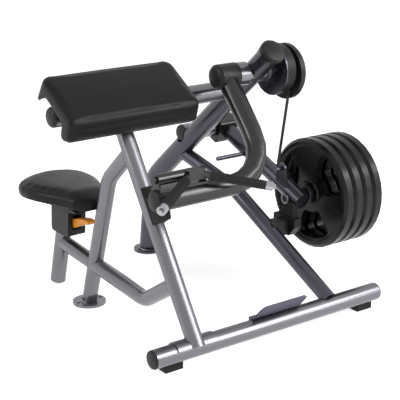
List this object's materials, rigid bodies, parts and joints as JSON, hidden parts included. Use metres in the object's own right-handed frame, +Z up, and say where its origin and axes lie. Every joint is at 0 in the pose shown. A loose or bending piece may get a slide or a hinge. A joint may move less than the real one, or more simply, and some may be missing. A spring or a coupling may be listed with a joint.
{
  "type": "plate loaded biceps curl machine",
  "caption": "Plate loaded biceps curl machine with a sloping arm pad, a height adjustable seat, a curling arm with a swivel handle, and a belt driven weight lever.",
  "frame": {"origin": "centre of the footprint, on the floor", "axes": "+X towards the weight plates, +Y from the handle towards the seat, +Z up"},
  "size_m": [1.3942, 1.2372, 1.0607],
  "materials": {
    "silver_paint": "gloss",
    "black_plastic": "satin",
    "black_painted_steel": "satin",
    "black_rubber": "matte",
    "slate_paint": "gloss",
    "plain_steel": "satin",
    "black_vinyl": "satin",
    "plywood": "matte",
    "orange_plastic": "gloss",
    "plated_steel": "gloss",
    "graphite_paint": "gloss",
    "dark_steel": "satin"
  },
  "bodies": {
    "frame": {"base_tube": "silver_paint", "base_cap_left": "black_plastic", "base_cap_right": "black_plastic", "base_foot_left": "black_rubber", "base_foot_right": "black_rubber", "saddle_plate": "silver_paint", "front_upright": "silver_paint", "rear_leg": "silver_paint", "rear_leg_foot": "silver_paint", "front_rail": "silver_paint", "seat_rail": "silver_paint", "seat_sleeve": "silver_paint", "crossbar": "silver_paint", "crossbar_cap": "black_plastic", "mast": "slate_paint", "mast_foot": "slate_paint", "mast_cap": "black_plastic", "bearing_housing": "silver_paint", "shaft_bearing_left": "plain_steel", "shaft_bearing_right": "plain_steel", "brace": "slate_paint", "footrest_plate": "slate_paint", "arm_stop": "black_rubber", "lever_pivot_tube": "silver_paint", "lever_pivot_cap": "black_plastic", "lever_shaft": "plain_steel", "bumper_bracket": "graphite_paint", "bumper_block": "black_rubber", "arm_pad": "black_vinyl", "arm_pad_board": "plywood", "pad_yoke": "slate_paint", "seat_lock_housing": "black_plastic", "belt": "black_rubber"},
    "arm": {"arm_hub": "black_plastic", "arm_tube": "graphite_paint", "arm_shaft": "plain_steel", "cam": "black_painted_steel", "cam_disc": "slate_paint", "cam_cover": "black_plastic", "handle_bracket": "graphite_paint", "handle_pin": "plated_steel"},
    "handle": {"handle_bar": "graphite_paint", "grip_left": "black_rubber", "grip_cap_left": "plated_steel", "grip_right": "black_rubber", "grip_cap_right": "plated_steel"},
    "weight_lever": {"lever_hub": "graphite_paint", "lever_tube": "slate_paint", "stop_rod": "plated_steel", "weight_peg": "dark_steel", "belt_lug": "slate_paint", "belt_bolt": "plated_steel"},
    "seat": {"seat_post": "plated_steel", "seat_base": "black_painted_steel", "seat_pad": "black_vinyl"},
    "seat_lock": {"seat_lock_lever": "orange_plastic"},
    "plate_1": {"weight_plate_1": "black_rubber"},
    "plate_2": {"weight_plate_2": "black_rubber"},
    "plate_3": {"weight_plate_3": "black_rubber"},
    "plate_4": {"weight_plate_4": "black_rubber"}
  },
  "joints": [
    {"name": "arm_curl", "type": "hinge", "parent": "frame", "child": "arm", "pos_m": [-0.01785, -0.17739, 0.928], "axis": [1, 0, 0], "range_deg": [-130, 0]},
    {"name": "lever_lift", "type": "hinge", "parent": "frame", "child": "weight_lever", "pos_m": [0.29215, 0.25261, 0.606], "axis": [1, 0, 0], "range_deg": [-18.72, 0], "deforming": ["belt"]},
    {"name": "handle_swivel", "type": "hinge", "parent": "arm", "child": "handle", "pos_m": [-0.42285, -0.45039, 0.678], "axis": [1, 0, 0], "range_deg": [-70, 0]},
    {"name": "seat_height", "type": "slide", "parent": "frame", "child": "seat", "axis": [0, -0.2588, 0.9659], "range_m": [0, 0.12]},
    {"name": "seat_lock_squeeze", "type": "hinge", "parent": "frame", "child": "seat_lock", "pos_m": [-0.42185, 0.27561, 0.316], "axis": [1, 0, 0], "range_deg": [-8, 0], "stiffness_Nm_per_rad": 1.5},
    {"name": "plate_4_slide", "type": "slide", "parent": "weight_lever", "child": "plate_4", "axis": [1, 0, 0], "range_m": [0, 0.09]},
    {"name": "plate_3_slide", "type": "slide", "parent": "weight_lever", "child": "plate_3", "axis": [1, 0, 0], "range_m": [0, 0.0675]},
    {"name": "plate_2_slide", "type": "slide", "parent": "weight_lever", "child": "plate_2", "axis": [1, 0, 0], "range_m": [0, 0.045]},
    {"name": "plate_1_slide", "type": "slide", "parent": "weight_lever", "child": "plate_1", "axis": [1, 0, 0], "range_m": [0, 0.0225]}
  ],
  "couplings": [
    {"joint": "lever_lift", "follows": "arm_curl", "ratio": 0.144},
    {"joint": "plate_3_slide", "follows": "plate_4_slide", "ratio": 0.75},
    {"joint": "plate_2_slide", "follows": "plate_4_slide", "ratio": 0.5},
    {"joint": "plate_1_slide", "follows": "plate_4_slide", "ratio": 0.25}
  ]
}
